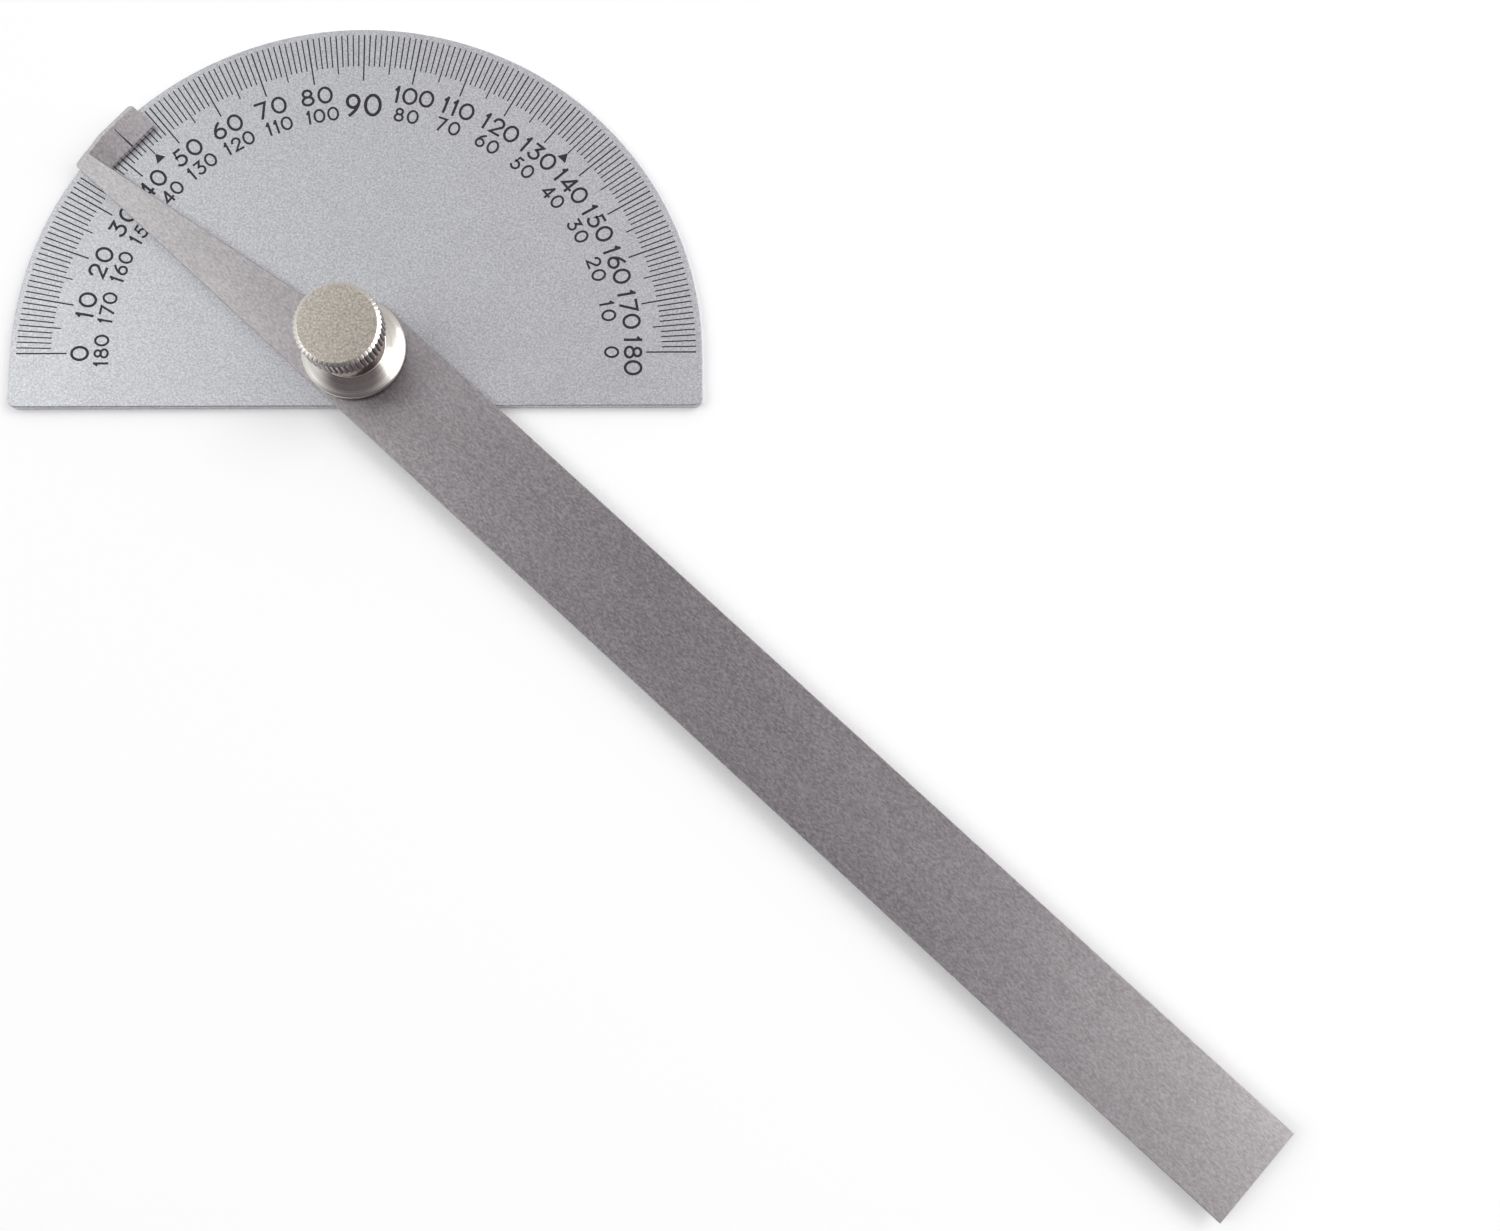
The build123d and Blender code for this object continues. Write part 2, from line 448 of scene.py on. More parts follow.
def unit(rows: np.ndarray) -> np.ndarray:
    """Each row scaled to a length of 1."""
    return rows / np.linalg.norm(rows, axis=1, keepdims=True)


def bent(a: np.ndarray, b: np.ndarray, c: np.ndarray, t: np.ndarray) -> np.ndarray:
    """The bend (1-t)^2 a + 2t(1-t) b + t^2 c, from a to c and drawn towards b."""
    return (1 - t) ** 2 * a + 2 * t * (1 - t) * b + t ** 2 * c


def softened(profile: np.ndarray, radius: float | np.ndarray, closed: bool) -> np.ndarray:
    """A profile with its corners eased.

    Each corner gives way to a bend between two points on its sides, which lie at
    the radius from it, or sooner on a short side.

    Args:
        profile: the corners, one (r, z) a row.
        radius: how far the easing reaches along each side, one for all corners
            or a column of one for each.
        closed: True where the last corner joins the first. An open profile
            keeps its two ends.

    Returns:
        The eased profile.
    """
    before, after = np.roll(profile, 1, axis=0), np.roll(profile, -1, axis=0)
    t = np.linspace(0.0, 1.0, EASING_STEPS)[None, :, None]

    def reach(neighbour: np.ndarray) -> np.ndarray:
        """The point where a corner's easing meets the side towards a neighbour."""
        side = neighbour - profile
        length = np.linalg.norm(side, axis=1, keepdims=True)
        return profile + side / length * np.minimum(radius, EASING_SHARE * length)

    eased = bent(reach(before)[:, None], profile[:, None], reach(after)[:, None], t)
    if closed:
        return eased.reshape(-1, 2)
    return np.vstack([profile[:1], eased[1:-1].reshape(-1, 2), profile[-1:]])


def hollow_flank(start: tuple[float, float], end: tuple[float, float], depth: float) -> np.ndarray:
    """A flank between two corners, hollowed as a shallow curve.

    A point goes straight from start to end with t, and moves across, to the left
    of that way, by 4 t (1 - t) of the depth.

    Args:
        start: the first corner, (r, z).
        end: the last corner.
        depth: how deep the hollow is at its middle.

    Returns:
        The points, one a row.
    """
    first, last = np.array(start), np.array(end)
    way = (last - first) / np.linalg.norm(last - first)
    t = np.linspace(0.0, 1.0, FLANK_STEPS)[:, None]
    return first + (last - first) * t + np.array([-way[1], way[0]]) * 4 * t * (1 - t) * depth


def turned(radii: np.ndarray, heights: np.ndarray, angles: np.ndarray, poles: bool) -> Surface:
    """A turned surface: corner (i, j) is radii[i, j] out at angles[j], and heights[i] high.

    Args:
        radii: distances from the axis, one row for each place along the profile.
        heights: one for each row.
        angles: one for each column, in radians, rising.
        poles: True where the first and last rows are points on the axis. The
            ends are then closed by fans, and otherwise the rows join in a ring.

    Returns:
        The closed surface.
    """
    rows, columns = radii.shape
    x, y = radii * np.cos(angles), radii * np.sin(angles)
    points = np.stack([x, y, np.broadcast_to(heights[:, None], x.shape)], axis=-1).reshape(-1, 3)
    if not poles:
        return Surface(points, [grid_quads(rows, columns, True, True)[:, ::-1]])
    inner = points[columns:-columns]
    ends = np.array([[0.0, 0.0, heights[0]], [0.0, 0.0, heights[-1]]])
    around = np.arange(columns)
    after = (around + 1) % columns
    first_row, last_row = around, (rows - 3) * columns + around
    top, bottom = len(inner), len(inner) + 1
    fan_top = np.stack([np.full(columns, top), first_row, after], axis=1)
    fan_bottom = np.stack([np.full(columns, bottom), last_row - around + after, last_row], axis=1)
    return Surface(np.vstack([inner, ends]),
                   [grid_quads(rows - 2, columns, False, True)[:, ::-1], fan_top, fan_bottom])


def ribbon(path: np.ndarray, width: float, top: float, bottom: float, closed: bool) -> Surface:
    """A flat stroke of even width along a path, as a thin closed solid.

    Each point's two edges lie across the path, at half the width divided by the
    cosine of half the turn there, so that corners are mitred.

    Args:
        path: the centre line, one (x, y) a row.
        width: the stroke's width.
        top: height of its upper face.
        bottom: height of its lower face.
        closed: True for a loop. An open stroke ends square, half a width on.

    Returns:
        The solid.
    """
    if closed:
        ahead, behind = np.roll(path, -1, axis=0) - path, path - np.roll(path, 1, axis=0)
    else:
        runs = np.diff(path, axis=0)
        caps = unit(runs[[0, -1]])
        path = np.vstack([path[:1] - caps[:1] * width / 2, path[1:-1],
                          path[-1:] + caps[1:] * width / 2])
        runs = np.diff(path, axis=0)
        ahead, behind = np.vstack([runs, runs[-1:]]), np.vstack([runs[:1], runs])
    middle = unit(unit(ahead) + unit(behind))
    cosine = (middle * unit(ahead)).sum(axis=1, keepdims=True)
    mitre = width / 2 / np.maximum(cosine, SHARPEST_MITRE)
    across = np.stack([-middle[:, 1], middle[:, 0]], axis=1) * mitre
    left, right, level = path + across, path - across, np.ones(len(path))
    corners = ((left, top), (left, bottom), (right, bottom), (right, top))
    rings = np.stack([np.c_[edge, height * level] for edge, height in corners], axis=1)
    return carried(rings[None], closed)


# Paint in grooves and on the face

INK_TOP = 0.006
INK_FOOT = -0.02
GROOVE_DEPTH = 0.08
FILL_PLAY = 0.012
FILL_SAG = 0.012
FILL_BITE = 0.004
FILL_ACROSS = np.array([-0.5, -0.25, 0.0, 0.25, 0.5, 0.5, -0.5])
FILL_TOP_POINTS = 5


def fill_lift(recess: float) -> np.ndarray:
    """How far the seven points round the paint in a groove lie above the metal's face.

    Five go over the top, which sags as (1 - (2v)^2), with v from -1/2 to 1/2
    across the groove. Two lie at its foot, a little inside the metal.

    Args:
        recess: how far the top's two edges lie below the face.

    Returns:
        One height for each value of FILL_ACROSS.
    """
    top = -(1 - (2 * FILL_ACROSS) ** 2) * FILL_SAG - recess
    foot = -GROOVE_DEPTH - FILL_BITE
    return np.where(np.arange(len(FILL_ACROSS)) < FILL_TOP_POINTS, top, foot)


# Figures

@dataclass(frozen=True)
class Stroke:
    """One pull of the engraver's tool: a centre line in a box one high, and whether it closes."""

    path: np.ndarray
    closed: bool = False


class EngraverHand:
    """The plain upright figures of the dial, as strokes in a box that is one high."""

    widths: dict[str, float] = {"0": 0.82, "1": 0.0, "2": 0.64, "3": 0.60, "4": 0.70,
                                "5": 0.60, "6": 0.66, "7": 0.64, "8": 0.68, "9": 0.66}

    @staticmethod
    def arc(centre: tuple[float, float], radii: tuple[float, float],
            start: float, end: float, steps: int) -> np.ndarray:
        """Points of an ellipse: centre + (a cos u, b sin u), from one angle u to another.

        Args:
            centre: the ellipse's centre.
            radii: its half width a and half height b.
            start: the first angle, in degrees.
            end: the last angle.
            steps: the number of points.

        Returns:
            The points, one a row.
        """
        u = np.radians(np.linspace(start, end, steps))
        return np.array(centre) + np.stack([radii[0] * np.cos(u), radii[1] * np.sin(u)], axis=1)

    def loop(self, centre: tuple[float, float], radii: tuple[float, float],
             steps: int = 33) -> Stroke:
        """A whole ellipse as a closed stroke."""
        return Stroke(self.arc(centre, radii, 0.0, 360.0, steps)[:-1], True)

    def six(self, w: float) -> list[Stroke]:
        """The figure 6, w wide: a bowl, and a tail that bends from the top into its left side."""
        t = np.linspace(0.0, 1.0, 12)[:, None]
        a, b, c = np.array([0.74 * w, 1.0]), np.array([0.10 * w, 0.74]), np.array([0.0, 0.33])
        return [self.loop((w / 2, 0.31), (w / 2, 0.31)), Stroke(bent(a, b, c, t))]

    def strokes(self, figure: str, w: float) -> list[Stroke]:
        """The strokes of one figure.

        Args:
            figure: one of 0 to 9.
            w: its width, from the middle of its left stroke to that of its right.

        Returns:
            The strokes, with x from 0 to w and y from 0 to 1.
        """
        arc = self.arc
        if figure == "0":
            return [self.loop((w / 2, 0.5), (w / 2, 0.5), 41)]
        if figure == "1":
            return [Stroke(np.array([[0.0, 0.0], [0.0, 1.0]])),
                    Stroke(np.array([[-0.13, 0.82], [-0.02, 0.95]]))]
        if figure == "2":
            bow = arc((w / 2, 0.70), (w / 2, 0.30), 172.0, -28.0, 20)
            return [Stroke(np.vstack([bow, [[0.02, 0.0], [w, 0.0]]]))]
        if figure == "3":
            bowl = arc((0.44 * w, 0.30), (0.56 * w, 0.30), 88.0, -148.0, 20)
            return [Stroke(np.vstack([[[0.04, 1.0], [w - 0.06, 1.0], [0.40 * w, 0.605]], bowl]))]
        if figure == "4":
            return [Stroke(np.array([[0.76 * w, 0.0], [0.76 * w, 0.98]])),
                    Stroke(np.array([[0.72 * w, 0.95], [0.0, 0.25], [w, 0.25]]))]
        if figure == "5":
            bowl = arc((0.42 * w, 0.32), (0.58 * w, 0.32), 118.0, -145.0, 20)
            return [Stroke(np.vstack([[[w - 0.05, 1.0], [0.17, 1.0], [0.09, 0.56]], bowl]))]
        if figure == "6":
            return self.six(w)
        if figure == "7":
            return [Stroke(np.array([[0.0, 1.0], [w, 1.0], [0.32 * w, 0.0]]))]
        if figure == "8":
            return [self.loop((w / 2, 0.765), (0.39 * w, 0.235)),
                    self.loop((w / 2, 0.27), (w / 2, 0.27))]
        return [Stroke(np.array([w, 1.0]) - s.path, s.closed) for s in self.six(w)]


@dataclass(frozen=True)
class FigureRow:
    """One row of figures round the dial: its place, its size and the spacing of its figures."""

    foot_radius: float
    height: float
    stroke: float
    narrowing: float
    pair_spacing: float
    one_to_middle: float
    middle_to_last: float
    pair_with_one: float = 0.86
    double_one: float = 0.78
    before_round: float = 1.07
    figure_rise: float = 0.0004
    stroke_rise: float = 0.0012

    def offsets(self, word: str) -> list[float]:
        """How far each of a word's one to three figures stands to the right of its mark."""
        if len(word) == 1:
            return [0.0]
        if len(word) == 2:
            gap = self.pair_spacing * (self.pair_with_one if word[0] == "1" else 1.0)
            return [-gap / 2, gap / 2]
        tight = self.double_one if word[1] == "1" else 1.0
        wide = self.before_round if word[1] == "0" else 1.0
        return [-self.one_to_middle * tight, 0.0, self.middle_to_last * tight * wide]

    def word(self, word: str, mark: float, hand: EngraverHand, face: float) -> list[Surface]:
        """A word's strokes on the plate, its top towards the rim.

        Each stroke is a little higher than the last, so no two tops share a plane.

        Args:
            word: the figures.
            mark: the degree mark that the word belongs to.
            hand: the figures' shapes.
            face: height of the plate's face.

        Returns:
            One thin solid for each stroke.
        """
        turn = math.radians(180.0 - mark)
        up = np.array([math.cos(turn), math.sin(turn)])
        right = np.array([up[1], -up[0]])
        box = self.height - self.stroke
        parts = []
        for number, (figure, offset) in enumerate(zip(word, self.offsets(word))):
            w = hand.widths[figure] * self.narrowing
            for order, stroke in enumerate(hand.strokes(figure, w)):
                x = (stroke.path[:, :1] - w / 2) * box + offset
                y = stroke.path[:, 1:] * box + self.foot_radius + self.stroke / 2
                top = face + INK_TOP + self.stroke_rise * order + self.figure_rise * number
                parts.append(ribbon(x * right + y * up, self.stroke, top, face + INK_FOOT,
                                    stroke.closed))
        return parts


# The protractor's sub-assemblies

@dataclass
class ScalePlate:
    """The half-round plate: its finish, the paint in its graduations and its figures."""

    radius: float = 45.0
    face: float = 1.2
    scale_margin: float = 0.8
    unit_length: float = 4.5
    half_length: float = 5.5
    main_length: float = 6.55
    line_width: float = 0.17
    main_line_width: float = 0.20
    paint_recess: float = 0.008
    stations: tuple[float, ...] = (0.006, 0.03, 0.97, 0.994)
    end_share: float = 0.75
    outer: FigureRow = FigureRow(34.74, 2.44, 0.35, 1.0, 2.35, 1.66, 2.11)
    inner: FigureRow = FigureRow(32.18, 1.98, 0.295, 0.94, 1.845, 1.345, 1.73)
    quarter: FigureRow = FigureRow(32.58, 3.23, 0.425, 0.85, 2.635, 0.0, 0.0)
    pointer_marks: tuple[float, float] = (45.0, 135.0)
    pointer_foot: float = 37.45
    pointer_height: float = 1.25
    pointer_width: float = 1.45
    hand: EngraverHand = field(default_factory=EngraverHand)

    def graduations(self) -> Surface:
        """The paint in all 181 graduations.

        A line is a ring of seven points carried through four stations, which are
        shares of its length, and the two end rings are a little narrower. Every
        line has its own length, width and angle.
        """
        marks = np.arange(181)
        length = np.select([marks % 10 == 0, marks % 5 == 0], [self.main_length, self.half_length],
                           self.unit_length)[:, None, None]
        width = np.where(marks % 10 == 0, self.main_line_width, self.line_width) - FILL_PLAY
        squeeze = np.array([self.end_share, 1.0, 1.0, self.end_share])[:, None]
        turn = np.radians(marks)[:, None, None]
        r = self.radius - self.scale_margin - length * (1 - np.array(self.stations)[:, None])
        s = width[:, None, None] * squeeze * FILL_ACROSS
        x, y = r * np.cos(turn) - s * np.sin(turn), r * np.sin(turn) + s * np.cos(turn)
        z = self.face + fill_lift(self.paint_recess)
        return carried(np.stack(np.broadcast_arrays(x, y, z), axis=-1))

    def figures(self, row: FigureRow, words: dict[float, str]) -> Surface:
        """A row of figures as one surface, from the word that stands at each degree mark."""
        return Surface.merged([part for mark, word in words.items()
                               for part in row.word(word, mark, self.hand, self.face)])

    def pointers(self) -> Surface:
        """The two small triangles at 45 and 135, filled, with their points towards the rim.

        Each is a three-cornered prism: two corners at the foot, half a width to
        each side, and one at the tip, carried from its top to its foot.
        """
        turn = np.radians(180.0 - np.array(self.pointer_marks))[:, None, None]
        side = np.array([-0.5, 0.5, 0.0]) * self.pointer_width
        out = self.pointer_foot + np.array([0.0, 0.0, 1.0]) * self.pointer_height
        x = out * np.cos(turn) + side * np.sin(turn)
        y = out * np.sin(turn) - side * np.cos(turn)
        z = self.face + np.array([INK_TOP, INK_FOOT])[None, :, None]
        return carried(np.stack(np.broadcast_arrays(x, y, z), axis=-1))

    def build(self) -> None:
        """Dresses the plate and the washer, and adds the paint and the figures."""
        dress("scale_plate", SatinSteel().material())
        brass = TurnedMetal("rolled_brass", (0.80, 0.64, 0.34), (0.70, 0.54, 0.27),
                            roughness=(0.28, 0.42)).material()
        dress("spacer_washer", brass)
        paint = FillPaint("line_paint", (0.004, 0.004, 0.008), (0.02, 0.02, 0.028)).material()
        self.graduations().piece("graduation_paint", paint, "scale_plate", "ink_black")
        tens = [float(mark) for mark in range(0, 181, 10) if mark != 90]
        rows = {
            "outer_figures": (self.outer, {mark: f"{mark:.0f}" for mark in tens}),
            "inner_figures": (self.inner, {mark: f"{180 - mark:.0f}" for mark in tens}),
            "quarter_figures": (self.quarter, {90.0: "90"}),
        }
        for name, (row, words) in rows.items():
            self.figures(row, words).piece(name, paint, "scale_plate", "ink_black")
        self.pointers().piece("pointer_marks", paint, "scale_plate", "ink_black")


@dataclass
class IndexArm:
    """The swinging arm: its brushed finish, and the paint in the line on its tab."""

    turn: float = 137.0
    tab_start: float = 41.2
    tab_face: float = 2.3
    bevel_run: float = 3.6
    bevel_drop: float = 0.4225
    bevel_twist: float = 0.0263
    line_start: float = 0.004
    line_length: float = 3.06
    line_width: float = 0.28
    line_fading: float = 0.75
    paint_recess: float = 0.006
    stations: int = 6

    def index_line(self) -> Surface:
        """The paint in the index line, full at the tab's inner edge and thinner outwards.

        A ring of seven points is carried along the line through evenly spaced
        stations. It lies on the tab's bevel, whose drop below the flat is (drop +
        twist times the distance across) times the share of the bevel's run that
        is still ahead.
        """
        t = np.linspace(0.0, 1.0, self.stations)[:, None]
        out = self.line_start + self.line_length * t
        side = (self.line_width - FILL_PLAY) * (1 - self.line_fading * t) * FILL_ACROSS
        drop = (self.bevel_drop + self.bevel_twist * side) * (1 - out / self.bevel_run)
        angle = math.radians(self.turn)
        x = (self.tab_start + out) * math.cos(angle) - side * math.sin(angle)
        y = (self.tab_start + out) * math.sin(angle) + side * math.cos(angle)
        z = self.tab_face - drop + fill_lift(self.paint_recess)
        return carried(np.stack([x, y, z], axis=-1)[None])

    def build(self) -> None:
        """Dresses the arm and adds the paint in its index line."""
        dress("index_arm", BrushedStrip("brushed_strip", self.turn).material())
        paint = FillPaint("index_paint", (0.008, 0.010, 0.025), (0.03, 0.035, 0.06)).material()
        self.index_line().piece("index_line_paint", paint, "index_arm", "ink_black")


@dataclass
class ClampScrew:
    """The clamp on the pivot: the keyed stud, the flared collar and the knurled nut."""

    arm_top: float = 2.5
    plate_thickness: float = 1.2
    collar_rim: float = 6.75
    collar_rim_height: float = 0.85
    collar_edge: float = 0.15
    collar_neck: float = 4.53
    collar_top: float = 5.0
    collar_bore: float = 3.60
    recess: float = 4.30
    recess_top: float = 3.10
    cove: float = 0.12
    collar_easing: float = 0.07
    flank_easing: float = 0.04
    collar_columns: int = 144
    nut_bottom: float = 2.55
    spigot: float = 3.55
    lip: float = 4.15
    lip_height: float = 0.5
    waist: float = 4.5
    waist_cove: float = 0.14
    knurl_foot: float = 8.9
    knurl_bottom: float = 9.2
    knurl_top: float = 11.7
    nut_top: float = 12.0
    head: float = 5.45
    crown: float = 4.9
    nut_easing: float = 0.06
    knurl_depth: float = 0.2
    knurl_count: int = 50
    knurl_round: float = 0.025
    knurl_run_out: float = 0.4
    tooth: tuple[float, ...] = (-0.30, -0.262, -0.16, -0.07, 0.0, 0.07, 0.16, 0.262, 0.30)
    nut_bore: float = 2.55
    bore_top: float = 11.2
    stud_head: float = 5.25
    stud_head_thickness: float = 0.5
    stud_bevel: tuple[float, float] = (0.12, 0.06)
    stud_break: float = 0.03
    key_flat: float = 3.1
    journal: float = 3.0
    journal_break: float = 0.05
    thread: float = 2.5
    thread_pitch: float = 0.8
    thread_depth: float = 0.43
    thread_start: float = 0.02
    thread_run_in: float = 0.8
    thread_rows: int = 96
    stud_top: float = 10.4
    stud_tip: float = 0.4
    stud_columns: int = 96
    nickel: tuple[Colour, Colour] = ((0.80, 0.765, 0.71), (0.70, 0.665, 0.61))
    frosting: tuple[Colour, Colour] = ((0.52, 0.495, 0.465), (0.88, 0.86, 0.82))
    frosting_size: float = 0.28
    frosting_depth: float = 0.02
    # Painted shade in the knurl's grooves, reaching partly onto its crests.
    groove_shade_tone: Colour = (0.20, 0.155, 0.20)
    groove_fade: tuple[float, float] = (0.03, 0.22)
    # Painted contact shadow on the collar's rim wall, where it stands on the arm.
    rim_shadow_tone: Colour = (0.16, 0.13, 0.14)
    rim_shadow_height: float = 0.62
    # Painted shade on the nut's waist under the knurl.
    waist_shade_tone: Colour = (0.42, 0.38, 0.40)
    tone_fade: float = 0.1

    def collar(self) -> Surface:
        """The collar: its eased profile, turned and closed on itself."""
        rim_top = self.arm_top + self.collar_rim_height
        beyond_rim = hollow_flank((self.collar_rim, rim_top),
                                  (self.collar_neck, self.collar_top), self.cove)[3:-1]
        corners = np.array([
            [self.collar_neck, self.collar_top], [self.collar_bore, self.collar_top],
            [self.collar_bore, self.recess_top], [self.recess, self.recess_top],
            [self.recess, self.arm_top], [self.collar_rim, self.arm_top],
            [self.collar_rim, rim_top]])
        easing = np.full((len(corners) + len(beyond_rim), 1), self.flank_easing)
        easing[:len(corners)] = self.collar_easing
        easing[len(corners) - 1] = self.collar_edge
        profile = softened(np.vstack([corners, beyond_rim]), easing, True)
        angles = np.linspace(0.0, 2 * math.pi, self.collar_columns, endpoint=False)
        radii = np.repeat(profile[:, :1], len(angles), axis=1)
        return turned(radii, profile[:, 1], angles, False)

    def nut(self) -> Surface:
        """The nut, knurled by a limit on its radius.

        The profile is turned, and then each radius is held to the knurl's floor
        plus the distance s round the head to the nearest groove, which cuts
        square grooves. It is taken as sqrt(s^2 + e^2), for slightly round floors.
        """
        neck = hollow_flank((self.waist, self.collar_top), (self.waist, self.knurl_foot),
                            self.waist_cove)
        low = self.nut_bottom + self.lip_height
        below = np.array([
            [0.0, self.bore_top], [self.nut_bore, self.bore_top], [self.nut_bore, self.nut_bottom],
            [self.lip, self.nut_bottom], [self.lip, low], [self.spigot, low],
            [self.spigot, self.collar_top]])
        above = np.array([[self.head, self.knurl_bottom], [self.head, self.knurl_top],
                          [self.crown, self.nut_top], [0.0, self.nut_top]])
        profile = softened(np.vstack([below, neck, above]), self.nut_easing, False)
        places = np.array([*self.tooth, math.pi * self.head / self.knurl_count])
        centres = np.arange(self.knurl_count) * 2 * math.pi / self.knurl_count
        angles = (centres[:, None] + places[None, :] / self.head).ravel()
        away = np.tile(np.sqrt(places ** 2 + self.knurl_round ** 2), self.knurl_count)
        floor = self.head - self.knurl_depth + away
        knurled = profile[:, 1:] > self.knurl_foot - self.knurl_run_out
        radii = np.minimum(profile[:, :1], np.where(knurled, floor, np.inf))
        return turned(radii, profile[:, 1], angles, True)

    def stud(self) -> Surface:
        """The stud: flush head, square key, journal and threaded shank, as one turned surface.

        On the key, the radius is the flat's distance over the larger of |cos u|
        and |sin u|. On the shank it is the thread's radius less a triangle wave
        of height / pitch - u / 2 pi, which runs round as a right-hand helix.
        """
        u = np.linspace(0.0, 2 * math.pi, self.stud_columns, endpoint=False)
        head, base, corner = self.stud_head, self.stud_head_thickness, self.journal_break
        bevel, rise = self.stud_bevel
        shank = self.arm_top - corner
        rows = np.array([
            [0.0, 0.0], [head - bevel, 0.0], [head, rise], [head, base - self.stud_break],
            [head - self.stud_break, base], [self.key_flat, base],
            [self.key_flat, self.plate_thickness], [self.journal, self.plate_thickness],
            [self.journal, shank - corner], [self.journal - corner, shank], [self.thread, shank]])
        heights = np.linspace(shank + self.thread_start, self.stud_top - self.stud_tip,
                              self.thread_rows)
        tip = np.array([[self.thread - self.stud_tip, self.stud_top], [0.0, self.stud_top]])
        lower = np.repeat(rows[:, :1], len(u), axis=1)
        key = rows[:, 0] == self.key_flat
        lower[key] = self.key_flat / np.maximum(np.abs(np.cos(u)), np.abs(np.sin(u)))
        turns = heights[:, None] / self.thread_pitch - u / (2 * math.pi)
        wave = np.abs((turns % 1.0) * 2 - 1)
        fade = np.clip((heights - heights[0]) / self.thread_run_in, 0.0, 1.0)[:, None]
        shaft = self.thread - self.thread_depth * wave * fade
        upper = np.repeat(tip[:, :1], len(u), axis=1)
        radii = np.vstack([lower, shaft, upper])[::-1]
        z = np.concatenate([rows[:, 1], heights, tip[:, 1]])[::-1]
        return turned(radii, z, u, True)

    def build(self) -> None:
        """Makes the three turned pieces in place of their plain solids."""
        # Painted shade, as darker rings in the nickel: in the knurl's grooves and partly on its
        # crests.
        floor = self.head - self.knurl_depth
        grooves = PaintedRingShade(floor + self.groove_fade[0], self.head + self.groove_fade[1],
                            self.knurl_foot, self.knurl_top, self.groove_shade_tone)
        # Painted contact shadow on the collar's rim wall.
        rim_shadow = PaintedRingShade(self.collar_rim, self.collar_rim - self.tone_fade, self.arm_top,
                         self.arm_top + self.rim_shadow_height, self.rim_shadow_tone)
        # Painted shade on the waist under the knurl.
        waist = PaintedRingShade(self.waist, self.waist + self.tone_fade, self.collar_top,
                          self.knurl_foot, self.waist_shade_tone)
        nickel = TurnedMetal("bright_nickel", *self.nickel, frost_size=self.frosting_size,
                             satin=self.frosting, satin_from=self.nut_top - self.frosting_depth,
                             painted_shades=(grooves, rim_shadow, waist)).material()
        steel = TurnedMetal("plated_stud", (0.74, 0.72, 0.70), (0.62, 0.60, 0.585),
                            roughness=(0.22, 0.34)).material()
        stud = self.stud().piece("keyed_stud", steel, "scale_plate", "stud_plated")
        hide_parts("pivot_stud")
        collar = self.collar().piece("flared_collar", nickel, "clamp_collar", "nut_plated")
        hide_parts("clamp_collar")
        nut = self.nut().piece("knurled_nut", nickel, "thumb_nut", "nut_plated")
        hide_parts("thumb_nut")


def dress(node: str, material: bpy.types.Material) -> None:
    """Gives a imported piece, named as in the frame, one finish in all its slots."""
    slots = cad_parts[node].material_slots
    for slot in slots:
        slot.material = material
    log.info("%s: %s in %d slot(s)", node, material.name, len(slots))


# Studio

class Side(Enum):
    """The directions, from the pivot, that the soft boxes stand in."""

    KEY = (0.60, 0.42, 0.68)
    LEFT = (-0.69, 0.05, 0.72)
    RIGHT = (0.82, -0.06, 0.57)


@dataclass(frozen=True)
class SoftBox:
    """A square lamp that faces the pivot."""

    side: Side
    distance: float
    size: float
    watts: float
    aim: Size = (0.03, -0.03, 0.0)

    def build(self) -> None:
        """Hangs the lamp."""
        lamp = bpy.data.lights.new("box_" + self.side.name.lower(), "AREA")
        lamp.shape, lamp.size, lamp.energy = "SQUARE", self.size, self.watts
        thing = bpy.data.objects.new(lamp.name, lamp)
        away = Vector(self.side.value).normalized()
        thing.location = Vector(self.aim) + away * self.distance
        thing.rotation_euler = (-away).to_track_quat("-Z", "Y").to_euler()
        bpy.context.scene.collection.objects.link(thing)
        log.info("%s: %.2f m wide, %.1f W", lamp.name, self.size, self.watts)


@dataclass(frozen=True)
class SkyStep:
    """A smooth change, from low to high, of the room's light along one part of the direction."""

    axis: str
    low: float
    high: float
    start: float
    end: float


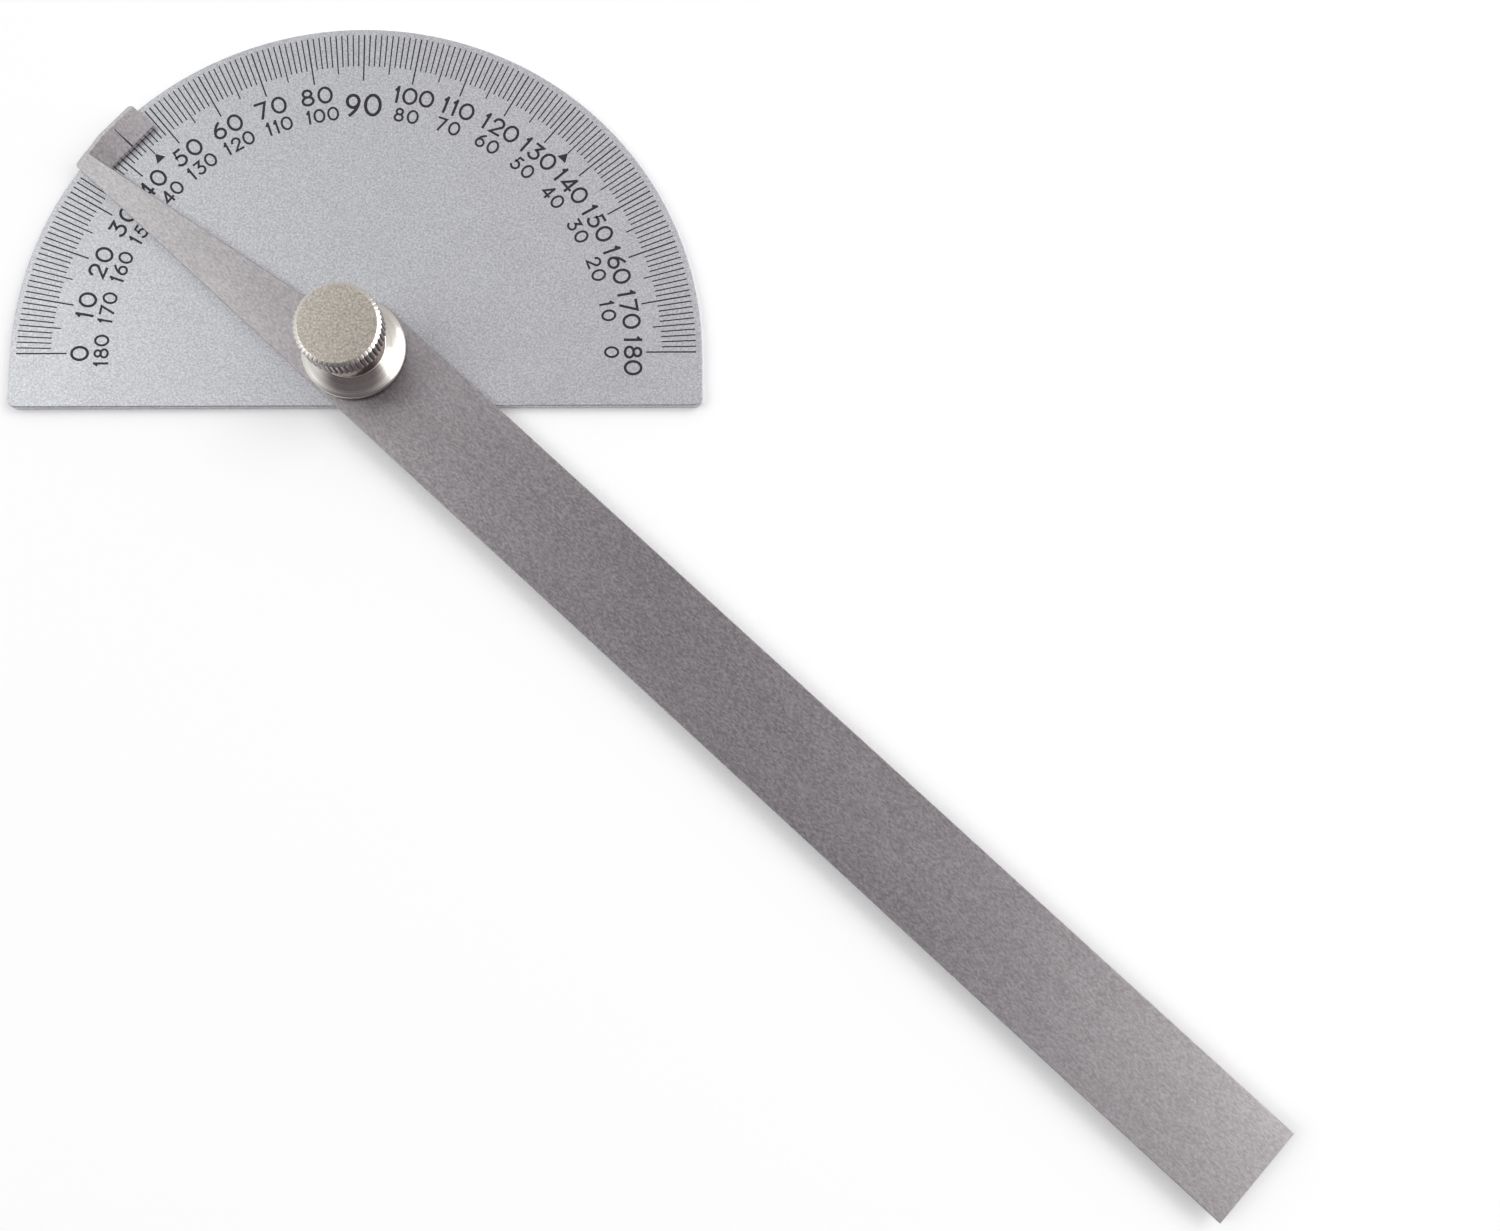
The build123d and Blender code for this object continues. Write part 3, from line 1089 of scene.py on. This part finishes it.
@dataclass
class Studio:
    """White floor, soft light and the camera over the bench."""

    floor_size: float = 6.0
    floor_level: float = -0.02
    floor_colour: Colour = (0.94, 0.94, 0.94)
    floor_glow: float = 0.10
    overhead: SkyStep = SkyStep("Z", 1.0, 0.18, 0.80, 0.985)
    wall: SkyStep = SkyStep("Z", 0.84, 1.12, 0.10, 0.85)
    front: SkyStep = SkyStep("Y", 0.14, 1.0, -0.70, -0.15)
    back: SkyStep = SkyStep("Y", 1.0, 0.70, 0.35, 0.95)
    window: SkyStep = SkyStep("X", 1.0, 0.0, -0.75, -0.15)
    shade_tint: Colour = (1.0, 0.91, 1.0)
    window_tint: Colour = (0.955, 1.0, 1.0)
    boxes: tuple[SoftBox, ...] = (SoftBox(Side.KEY, 0.70, 0.34, 0.9),
                                  SoftBox(Side.LEFT, 0.80, 0.42, 1.35),
                                  SoftBox(Side.RIGHT, 0.60, 0.42, 0.60))
    lens: float = 30.64
    sensor: float = 36.0
    shift: tuple[float, float] = (0.0613, 0.0)
    clip: tuple[float, float] = (0.005, 20.0)
    camera_place: Size = (37.79, -54.69, 162.15)
    camera_right: Size = (0.99996, -0.00503, 0.00717)
    camera_up: Size = (0.00411, 0.99231, 0.12373)
    camera_back: Size = (-0.00773, -0.1237, 0.99229)

    def floor(self) -> None:
        """The floor: pale, matt, and lifted to white where the camera or a reflection sees it."""
        half, level = self.floor_size / 2, self.floor_level * MM
        corners = [(x * half, y * half, level) for x, y in ((-1, -1), (1, -1), (1, 1), (-1, 1))]
        mesh = bpy.data.meshes.new("floor")
        mesh.from_pydata(corners, [], [(0, 1, 2, 3)])
        board = NodeBoard(bpy.data.materials.new("floor_white"))
        path = board.add("LightPath").outputs
        glow = board.add("Emission", Color=(*WHITE, 1.0))
        matt = board.add("BsdfDiffuse", Color=(*self.floor_colour, 1.0))
        both = board.add("AddShader")
        output = board.add("OutputMaterial")
        seen = board.combine("MAXIMUM", path["Is Camera Ray"], path["Is Glossy Ray"])
        board.join(board.combine("MULTIPLY", seen, self.floor_glow), glow.inputs["Strength"])
        board.join(matt.outputs[0], both.inputs[0])
        board.join(glow.outputs[0], both.inputs[1])
        board.join(both.outputs[0], output.inputs["Surface"])
        mesh.materials.append(board.owner)
        thing = bpy.data.objects.new("floor", mesh)
        bpy.context.scene.collection.objects.link(thing)

    def sky(self) -> None:
        """The room: white walls, greyer at their foot and behind, and dark in front and above.

        The strength is the product of four smooth steps on the direction, but is
        never below 1 where the camera sees it. What it lacks of 1 is the share of
        the shade's tint, over a wall that takes the window's tint to the left.
        """
        board = NodeBoard(bpy.data.worlds.new("tent"))
        glow = board.add("Background")
        output = board.add("OutputWorld")
        parts = dict(zip("XYZ", board.split(board.add("TexCoord").outputs["Generated"])))

        def step(change: SkyStep) -> Socket:
            """The strength that one change gives."""
            return board.between(parts[change.axis], change.low, change.high,
                                 change.start, change.end, "SMOOTHSTEP")

        strength = step(self.overhead)
        for change in (self.wall, self.front, self.back):
            strength = board.combine("MULTIPLY", strength, step(change))
        seen = board.add("LightPath").outputs["Is Camera Ray"]
        strength = board.combine("MAXIMUM", strength, seen)
        side = board.blend(step(self.window), WHITE, self.window_tint)
        tint = board.blend(board.combine("SUBTRACT", 1.0, strength), side, self.shade_tint)
        board.join(tint, glow.inputs["Color"])
        board.join(strength, glow.inputs["Strength"])
        board.join(glow.outputs[0], output.inputs["Surface"])
        bpy.context.scene.world = board.owner

    def camera(self) -> None:
        """The camera where the photograph was taken from, with the image's right and up."""
        data = bpy.data.cameras.new("bench_camera")
        data.sensor_fit, data.sensor_width, data.lens = "HORIZONTAL", self.sensor, self.lens
        data.shift_x, data.shift_y = self.shift
        data.clip_start, data.clip_end = self.clip
        thing = bpy.data.objects.new("bench_camera", data)
        axes = Matrix((self.camera_right, self.camera_up, self.camera_back))
        place = Matrix.Translation(Vector(self.camera_place) * MM)
        thing.matrix_world = place @ axes.transposed().to_4x4()
        bpy.context.scene.collection.objects.link(thing)
        bpy.context.scene.camera = thing

    def build(self) -> None:
        """Sets up floor, room, lamps and camera."""
        bpy.context.scene.view_settings.view_transform = "Standard"
        self.floor()
        self.sky()
        for box in self.boxes:
            box.build()
        self.camera()


def main() -> None:
    """Builds the sub-assemblies, then the studio."""
    logging.basicConfig(level=logging.INFO, format="%(name)s %(message)s")
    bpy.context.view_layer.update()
    for part in (ScalePlate(), IndexArm(), ClampScrew(), Studio()):
        part.build()


if __name__ == "__main__":
    main()
